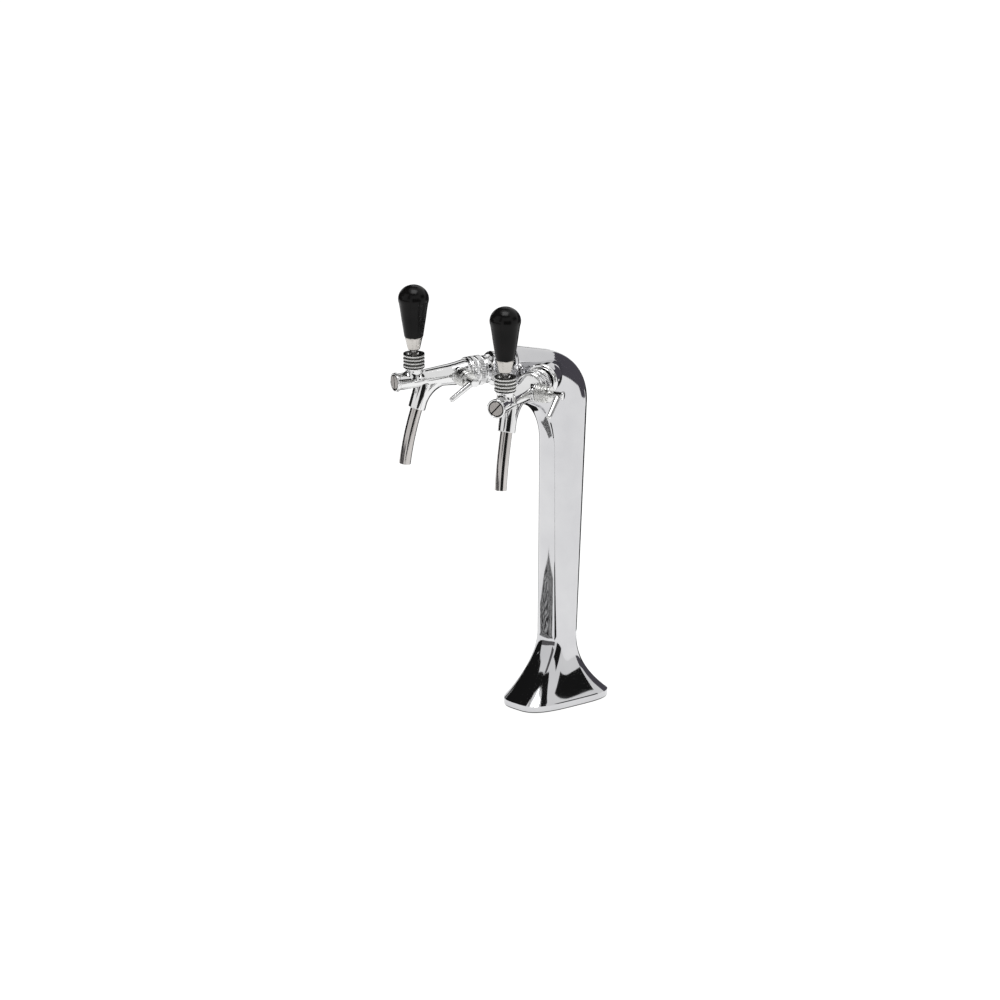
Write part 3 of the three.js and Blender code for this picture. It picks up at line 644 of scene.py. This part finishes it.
def make_cap(name, tap, slot_turn):
    """The cap's rim, the slotted disc in it and a near-black disc under it: painted shade that
    shows in the slot round the disc.
    """
    outer = [(8.7, -23.4), (8.9, -24.6), (9.3, -25.0), (10.1, -25.0), (10.7, -24.4),
             (10.7, -21.7), (10.2, -21.1), (0, -21.1)]
    skin = Skin(tap)
    add_turned(skin, [(0, -21.5)] + soften([(8.7, -21.5)] + outer, 0.25), "y", 96)
    skin.make(f"{name}_cap_rim", "chrome", "tower", [f"{name}_front_cap"])
    disc = Skin(tap @ Matrix.Rotation(math.radians(-slot_turn), 4, "Y"))
    for way in (-1, 1):
        add_half_disc(disc, way)
    disc.make(f"{name}_cap_disc", "cap", "tower", [])
    # Painted shade: a near-black disc behind the cap's disc stands in for the shade in its slot.
    floor = Skin(tap)
    add_turned(floor, [(0, -23.6), (8.75, -23.6), (8.75, -23.3), (0, -23.3)], "y", 64)
    floor.make(f"{name}_cap_painted_shade", "slot_shade_paint", "tower", [])


def make_collar(name, tap):
    """The nut on the neck: four bulging rows outside, a cone for the lever inside."""
    skin = Skin(tap)
    low, pitch, rows = 14.8, 3.95, 4
    teeth, slant = 13, 0.9
    row_depth, tooth_depth = 1.3, 0.8
    painted_shade_share = 0.27
    inside = 10                         # the cone that the lever swings in is left smooth
    profile = [(9.7, 14.6), (11.2, 14.6), (12.2, low), (12.2, low + pitch * rows), (8.9, 30.6),
               (6.3, 26.0)]

    def relief(angle, place):
        """Bulging rows, each pressed with slanting teeth that turn over from row to row."""
        if place < low or place > low + pitch * rows:
            return 0
        row = min(int((place - low) / pitch), rows - 1)
        share = (place - low) / pitch - row
        bulge = math.sin(math.pi * share)
        lean = (-1) ** row * slant * share * math.pi
        tooth = abs(math.sin(angle * teeth + lean))
        return row_depth * (1 - bulge) + tooth_depth * (1 - tooth) * bulge
    add_turned(skin, dense(soften(profile, 0.25, 2), 0.33), "z", 260, relief=relief,
               relief_from=inside)
    piece = skin.make(f"{name}_collar", "knurled", "tower", [f"{name}_collar_nut"], 50)
    # Painted shade: the faces at the rows' edges get the dark chrome, a share of a row wide.
    paint_valley_shade(piece, tap, low, pitch, rows, painted_shade_share)


def paint_valley_shade(piece, tap, start, pitch, rows, share):
    """Paints the faces near each row's edges with dark chrome: painted shade for the valleys
    between rows.
    """
    end_margin = 0.2
    piece.data.materials.append(MATERIALS["shade_paint"])
    to_tap = tap.inverted()
    for face in piece.data.polygons:
        place = (to_tap @ (Vector(face.center) / MM)).z
        row = (place - start) / pitch
        if -end_margin < row < rows + end_margin and abs(row - round(row)) < share:
            face.material_index = 1


def make_handle(name, tap):
    """Lever stem with its ball, the conical ferrule on it and the pear-shaped grip."""
    body = f"{name}_handle"
    stem = Skin(tap)
    ball = arc(22, 6.5, 6.5, -75.7, 60.5, 20)
    add_turned(stem, [(0, -4), (1.3, -4), (1.6, -3.7), (1.6, 15.7)] + ball + [(3.2, 62), (0, 62)],
               "z", 48)
    stem.make(f"{name}_stem", "steel", body, [f"{name}_lever_stem"])
    ferrule = Skin(tap)
    add_turned(ferrule, soften([(3.6, 34.7), (5.6, 34.7), (6.9, 35.8), (7.1, 36.8), (9.7, 48.3),
                                (10, 48.7), (10, 49.7), (3.6, 49.7)], 0.3), "z", 96)
    ferrule.make(f"{name}_ferrule", "brushed", body, [f"{name}_handle_ferrule"])
    knob = Skin(tap)
    cone = [(10.2, 50.0), (10.45, 50.2), (10.7, 50.8), (11.1, 53.5), (12.4, 62), (13.85, 71.2),
            (15.1, 80.5), (16.3, 88)]
    crown = arc(93.6, 17.3, 15.6, -12, 90, 28)
    add_turned(knob, [(0, 62.6), (3.6, 62.6), (3.6, 50.0)] + dense(cone, 2.5)
               + crown[:-1] + [(0, 109.2)], "z", 96)
    knob.make(f"{name}_grip", "handle", body, [f"{name}_handle_knob"], 50)


def make_spout(name, tap):
    """The tube that leaves the socket and bends down towards the glass."""
    start = SPOUT_FRAME @ Vector((0, 0, -25.4))
    bend, tip = Vector((0, -7.9, -64.4)), Vector((0, -12.3, -96.0))
    steps = 40
    stops = [quadratic(start, bend, tip, i / steps) for i in range(steps + 1)]
    skin = Skin(tap)
    add_spout_tube(skin, stops, SPOUT_RADIUS, SPOUT_BORE)
    skin.make(f"{name}_spout", "spout", "tower", [f"{name}_spout_tube"])


def make_flow_control(name, tap, drop):
    """Knurled nut, spindle with its pin, and lever, drop degrees forward of straight down."""
    nut = Skin(tap)
    profile = [(3.4, 15.2), (9.9, 15.2), (10.4, 15.7), (10.4, 26.6), (9.9, 27.1), (9.0, 27.2),
               (9.0, 28.2), (9.4, 28.6), (9.4, 30.9), (8.9, 31.7), (3.4, 31.8)]
    add_turned(nut, dense(soften(profile, 0.25, 2), 0.45), "x", 200, FLOW_FRAME,
               knurl(count=50, pitch=2.1, depth=0.5, start=15.9, end=26.5))
    nut.make(f"{name}_flow_nut_piece", "knurled", "tower", [f"{name}_flow_nut"], 50)
    body = f"{name}_flow_control"
    stem = Skin(tap)
    add_turned(stem, soften([(0, 7.6), (3, 7.6), (3, 32.1), (3.9, 32.2), (3.9, 44.5),
                             (4.8, 44.7), (4.8, 46.4), (0, 46.4)], 0.25), "x", 64, FLOW_FRAME)
    pin = FLOW_FRAME @ Matrix.Translation((0, 0, 1.6))
    add_turned(stem, [(0, 3.6), (0.95, 3.6), (0.95, 8), (0, 8)], "x", 24, pin)
    stem.make(f"{name}_spindle", "chrome", body, [f"{name}_flow_stem"])
    lever = Skin(tap)
    place = (FLOW_FRAME @ Matrix.Translation((LEVER_STATION, 0, 0))
             @ Matrix.Rotation(-math.radians(drop), 4, "X"))
    tip = arc(-31.4, 2.9, 2.6, -90, 0, 10)
    add_turned(lever, [(0, -34)] + tip[1:] + [(3.1, -16), (3.4, -4.2), (0, -4.1)], "z", 48, place)
    lever.make(f"{name}_lever_rod", "chrome", body, [f"{name}_flow_lever"])


def make_coupling(name, tap):
    """The ribbed coupling nut and the flange ring behind it."""
    nut = Skin(tap)
    profile = [(14.7, 65.6), (16.4, 65.6), (17.0, 66.3), (17.0, 68.2), (16.0, 68.9), (16.0, 70.2),
               (17.1, 70.9), (17.1, 75.2), (16.2, 75.8), (16.2, 76.6), (17.1, 77.2), (17.1, 83.4),
               (16.0, 84.4), (14.9, 85.2), (14.9, 86.3), (15.8, 87.0), (15.8, 90.6), (14.9, 91.9),
               (9.7, 92)]
    add_turned(nut, dense(soften(profile, 0.3, 2), 0.8), "y", 240,
               relief=ribs(60, 0.45, (71.1, 75.0), (77.4, 83.2)))
    nut.make(f"{name}_coupling", "chrome", "tower", [f"{name}_coupling_nut"], 50)
    ring = Skin(tap)
    shape = [(9.7, 95.6), (16.6, 95.6), (18.6, 96.3), (19.5, 97.8), (19.6, 99.2), (19.4, 100.8),
             (18.7, 101.9), (9.7, 102)]
    add_turned(ring, soften(shape, 0.7), "y", 96)
    ring.make(f"{name}_flange", "chrome", "tower", [f"{name}_flange_ring"])


# ---------------------------------------------------------------- assembly

# Name, side of the tower, degrees from straight down to the flow lever, turn of the cap's slot.
TAPS = (("right", 1, 55, 48), ("left", -1, 58, 100))

make_column()
make_nose()
make_gasket()
for tap_name, tap_side, lever_drop, cap_turn in TAPS:
    matrix = tap_matrix(tap_side)
    make_body(tap_name, matrix)
    make_cap(tap_name, matrix, cap_turn)
    make_collar(tap_name, matrix)
    make_handle(tap_name, matrix)
    make_spout(tap_name, matrix)
    make_flow_control(tap_name, matrix, lever_drop)
    make_coupling(tap_name, matrix)

SLOT_OF = {part["node"]: part["material_slot"] for part in frame["record"]["subparts"]}
for node_name, node in frame["nodes"].items():
    node.data.materials.clear()
    node.data.materials.append(MATERIALS[SLOT_OF[node_name]])

# ---------------------------------------------------------------- studio

WHITE = 0.93
FLAG_DISTANCE = 7.0
FLAG_CENTRE = Vector((0, 0, 0.28))
CURVE_STEP = 6                          # degrees per strip of a curved wall or flag
FLOOR_GAP = 0.001                       # walls and sectors stay this far above the floor
FLOOR_SIZE, FLOOR_GREY, FLOOR_GLOW = 20, 0.24, 0.84


def glow(name, strength, colour=(1, 1, 1)):
    """A surface that shines evenly by itself, or stays nearly black at a low strength."""
    material = bpy.data.materials.new(name)
    material.use_nodes = True
    tree = material.node_tree
    tree.nodes.clear()
    emission = tree.nodes.new("ShaderNodeEmission")
    emission.inputs["Color"].default_value = (*colour, 1)
    emission.inputs["Strength"].default_value = strength
    output = tree.nodes.new("ShaderNodeOutputMaterial")
    tree.links.new(emission.outputs["Emission"], output.inputs["Surface"])
    return material


def streaks(name, dark, light, scale, twist):
    """A glow of uneven light and dark streaks, as a cluttered worktop reflects."""
    dark_until, light_from = 0.50, 0.72
    material = glow(name, 1.0)
    tree = material.node_tree
    place = tree.nodes.new("ShaderNodeTexCoord")
    wave = tree.nodes.new("ShaderNodeTexWave")
    wave.inputs["Scale"].default_value = scale
    wave.inputs["Distortion"].default_value = twist
    wave.inputs["Detail"].default_value = 3
    wave.inputs["Detail Scale"].default_value = 1.6
    ramp = tree.nodes.new("ShaderNodeValToRGB")
    ramp.color_ramp.elements[0].position = dark_until
    ramp.color_ramp.elements[1].position = light_from
    ramp.color_ramp.elements[0].color = (dark, dark, dark, 1)
    ramp.color_ramp.elements[1].color = (light, light, light, 1)
    tree.links.new(place.outputs["Object"], wave.inputs["Vector"])
    tree.links.new(wave.outputs["Fac"], ramp.inputs["Fac"])
    tree.links.new(ramp.outputs["Color"], tree.nodes["Emission"].inputs["Color"])
    return material


def reflected_only(piece):
    """Keeps a card out of the picture and out of the soft light: it shows in reflections."""
    bpy.context.scene.collection.objects.link(piece)
    piece.visible_camera = False
    piece.visible_diffuse = False
    piece.visible_shadow = False


def card(name, centre, facing, width, height, material, spin=0):
    """A flat card, spun about its own facing by some degrees."""
    mesh = bpy.data.meshes.new(name)
    w, h = width / 2, height / 2
    mesh.from_pydata([(-w, -h, 0), (w, -h, 0), (w, h, 0), (-w, h, 0)], [], [(0, 1, 2, 3)])
    mesh.materials.append(material)
    piece = bpy.data.objects.new(name, mesh)
    piece.location = centre
    turn = Vector(facing).to_track_quat("Z", "Y").to_matrix()
    piece.rotation_euler = (turn @ Matrix.Rotation(math.radians(spin), 3, "Z")).to_euler()
    reflected_only(piece)


def hang_strip(name, points, material):
    """A strip through pairs of points, one pair at each of its cross lines."""
    faces = [(2 * i, 2 * i + 1, 2 * i + 3, 2 * i + 2) for i in range(len(points) // 2 - 1)]
    mesh = bpy.data.meshes.new(name)
    mesh.from_pydata(points, [], faces)
    mesh.materials.append(material)
    reflected_only(bpy.data.objects.new(name, mesh))


def wall(name, distances, stops, material):
    """A curved wall, or a sector of the floor, round part of the object.

    It reaches from the first distance to the second. Each stop gives an azimuth and the
    heights of the near and far edges there.
    """
    points = []
    for (start, low_a, high_a), (end, low_b, high_b) in zip(stops, stops[1:]):
        columns = max(1, round(abs(end - start) / CURVE_STEP))
        for i in range(columns + 1):
            share = i / columns
            way = look_direction(mix(start, end, share), 0)
            heights = (mix(low_a, low_b, share), mix(high_a, high_b, share))
            points += [way * d + Vector((0, 0, z + FLOOR_GAP)) for d, z in zip(distances, heights)]
    hang_strip(name, points, material)


def flag(name, azimuths, elevations, material):
    """A far curved cloth between two azimuths and, at its left and right ends, two elevations."""
    columns = max(2, round(abs(azimuths[1] - azimuths[0]) / CURVE_STEP))
    left, right = elevations
    points = []
    for i in range(columns + 1):
        share = i / columns
        azimuth = mix(azimuths[0], azimuths[1], share)
        for at_left, at_right in zip(left, right):
            elevation = mix(at_left, at_right, share)
            points.append(FLAG_CENTRE + look_direction(azimuth, elevation) * FLAG_DISTANCE)
    hang_strip(name, points, material)


def make_floor():
    material, tree, shader = new_material("pale_floor")
    shader.inputs["Base Color"].default_value = (FLOOR_GREY, FLOOR_GREY, FLOOR_GREY, 1)
    shader.inputs["Roughness"].default_value = 0.9
    shader.inputs["Specular IOR Level"].default_value = 0
    shader.inputs["Emission Color"].default_value = (1, 1, 1, 1)
    shader.inputs["Emission Strength"].default_value = FLOOR_GLOW
    mesh = bpy.data.meshes.new("floor")
    s = FLOOR_SIZE
    mesh.from_pydata([(-s, -s, 0), (s, -s, 0), (s, s, 0), (-s, s, 0)], [], [(0, 1, 2, 3)])
    mesh.materials.append(material)
    floor = bpy.data.objects.new("floor", mesh)
    bpy.context.scene.collection.objects.link(floor)


def make_world():
    world = bpy.data.worlds.new("studio")
    world.use_nodes = True
    bpy.context.scene.world = world
    background = world.node_tree.nodes["Background"]
    background.inputs["Color"].default_value = (WHITE, WHITE, WHITE, 1)


def area_light(name, location, target, size, power):
    data = bpy.data.lights.new(name, "AREA")
    data.energy = power
    data.size = size
    light = bpy.data.objects.new(name, data)
    light.location = location
    light.rotation_euler = (Vector(target) - Vector(location)).to_track_quat("-Z", "Y").to_euler()
    bpy.context.scene.collection.objects.link(light)


make_floor()
make_world()
area_light("top_softbox", (0.2, -0.3, 2.2), target=(0, 0, 0.2), size=1.0, power=18)

BLACK = glow("black_card", 0.012)
DIM = glow("dim_card", 1.0, (0.13, 0.125, 0.13))
DUSK = glow("dusk_card", 1.0, (0.085, 0.08, 0.095))
CLUTTER = streaks("worktop_streaks", dark=0.006, light=0.55, scale=13, twist=11)

# Far flags: dark to the left, round the ceiling and behind, with bright gaps left between them.
flag("left_flag", (-128, -45), ((20, 60), (16, 64)), BLACK)
flag("left_low_flag", (-98, -58), ((3, 22), (3, 20)), BLACK)
flag("ceiling_left_flag", (-45, -2), ((40, 64), (52, 63)), BLACK)
flag("ceiling_front_flag", (-2, 34), ((52, 63), (46, 63)), BLACK)
flag("ceiling_right_flag", (34, 96), ((44, 63), (50, 62)), BLACK)
flag("ceiling_back_flag", (196, 236), ((50, 66), (44, 62)), BLACK)
flag("gap_flag", (-4, 16), ((8, 52), (14, 48)), DIM)
flag("back_right_flag", (103, 139), ((14, 36), (10, 33)), BLACK)

# Near walls and two sectors of the floor: dark behind, where the camera stands, to the left
# and in front.
wall("behind_wall", (2, 2), ((139, 0, 0.42), (147, 0, 0.50), (154, 0, 0.96), (162, 0, 1.10),
                             (173, 0, 1.26), (195, 0, 1.18), (207, 0, 0.80)), DUSK)
wall("behind_low_wall", (1.55, 2), ((150, 0, 0), (170, 0, 0)), DUSK)
wall("back_left_wall", (2, 2), ((215, 0.52, 1.34), (248, 0.52, 1.34)), BLACK)
wall("behind_floor", (0.22, 2), ((174, 0.002, 0.002), (252, 0.002, 0.002)), BLACK)
wall("camera_side_wall", (2, 2), ((31, 0, 1.04), (82, 0, 1.04)), BLACK)
wall("left_wall", (2.2, 2.2), ((-108, 0, 0.75), (-45, 0, 0.75)), BLACK)
wall("front_wall", (2.2, 2.2), ((-45, 0, 0.36), (12, 0, 0.36)), DIM)

# On the worktop in front: clutter, and two dark strips.
card("worktop_card", (-0.185, -0.28, 0.004), (0, 0, 1), 0.26, 0.34, CLUTTER)
card("worktop_bar_card", (0.055, -0.36, 0.005), (0, 0, 1), 0.075, 0.30, BLACK)
card("worktop_edge_card", look_direction(8, 0) * 0.80 + Vector((0, 0, 0.006)), (0, 0, 1), 0.02,
     0.9, BLACK, 8)
